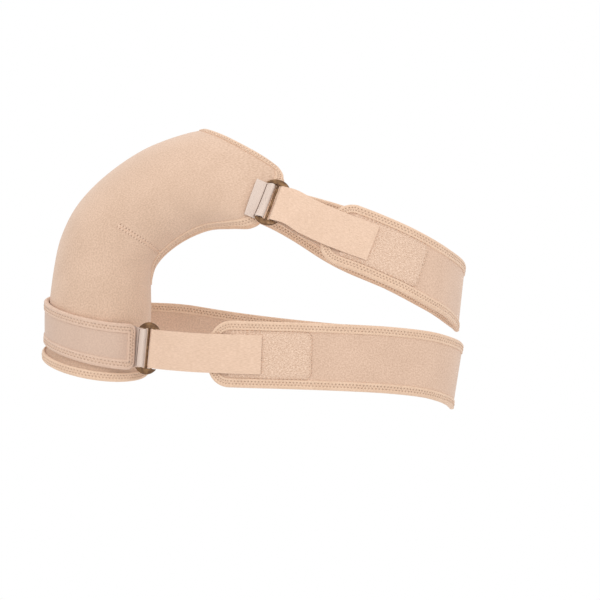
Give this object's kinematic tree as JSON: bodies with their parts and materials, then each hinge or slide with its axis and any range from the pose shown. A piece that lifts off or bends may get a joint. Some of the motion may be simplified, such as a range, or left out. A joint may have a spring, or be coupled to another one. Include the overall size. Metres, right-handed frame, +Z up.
{
  "type": "shoulder brace",
  "caption": "Neoprene shoulder brace: a short sleeve and shoulder cap in one, with two chest bands closed by webbing straps through brass slides.",
  "frame": {"origin": "inner face of the cap on top of the shoulder, where it sits on the wearer", "axes": "+X towards the wearer's left, +Y towards the wearer's back, +Z up"},
  "size_m": [0.4443, 0.241, 0.2949],
  "materials": {
    "neoprene": "fine knit face on 3 mm neoprene",
    "band_neoprene": "fine knit face on 3 mm neoprene",
    "binding": "elastic tape, cover-stitched",
    "elastic": "brushed elastic webbing",
    "webbing": "herringbone webbing",
    "pile": "short loop pile",
    "brass": "dark bronze"
  },
  "bodies": {
    "root": {"shoulder_shell": "neoprene", "cap_binding": "binding", "cuff_binding": "binding", "arm_band": "band_neoprene", "arm_band_binding": "binding", "arm_slide": "brass", "shoulder_slide": "brass", "arm_tab": "webbing", "shoulder_tab": "webbing", "lower_strap": "elastic", "lower_band": "band_neoprene", "lower_band_binding": "binding", "lower_patch": "pile", "upper_strap": "elastic", "upper_band": "band_neoprene", "upper_band_binding": "binding", "upper_patch": "pile"}
  },
  "joints": []
}
